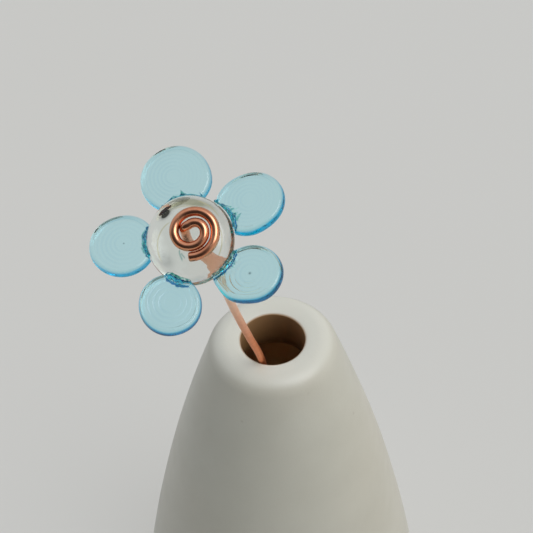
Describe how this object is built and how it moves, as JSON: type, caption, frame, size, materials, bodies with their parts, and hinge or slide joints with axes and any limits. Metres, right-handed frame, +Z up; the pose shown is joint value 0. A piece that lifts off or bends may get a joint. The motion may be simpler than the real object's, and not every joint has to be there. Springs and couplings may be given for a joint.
{
  "type": "glass flower stem in bottle",
  "caption": "Pressed-glass flower on a bare wire stem that spirals on its clear centre, leaning in the mouth of a matt conical ceramic bottle.",
  "frame": {"origin": "centre of the bottle's flat foot, on its axis", "axes": "+Z up along the bottle's axis; the flower leans towards -Y and a little towards -X"},
  "size_m": [0.0926, 0.1152, 0.2265],
  "materials": {
    "off_white_glaze": "matt off-white glaze outside, dark brown glaze inside the mouth",
    "copper": null,
    "clear_glass": "clear fire-polished glass",
    "pale_blue_glass": "pale blue pressed glass with fine concentric rings"
  },
  "bodies": {
    "root": {"bottle": "off_white_glaze", "copper_wire": "copper", "glass_centre": "clear_glass", "petal_top": "pale_blue_glass", "petal_upper_right": "pale_blue_glass", "petal_lower_right": "pale_blue_glass", "petal_lower_left": "pale_blue_glass", "petal_left": "pale_blue_glass"}
  },
  "joints": []
}
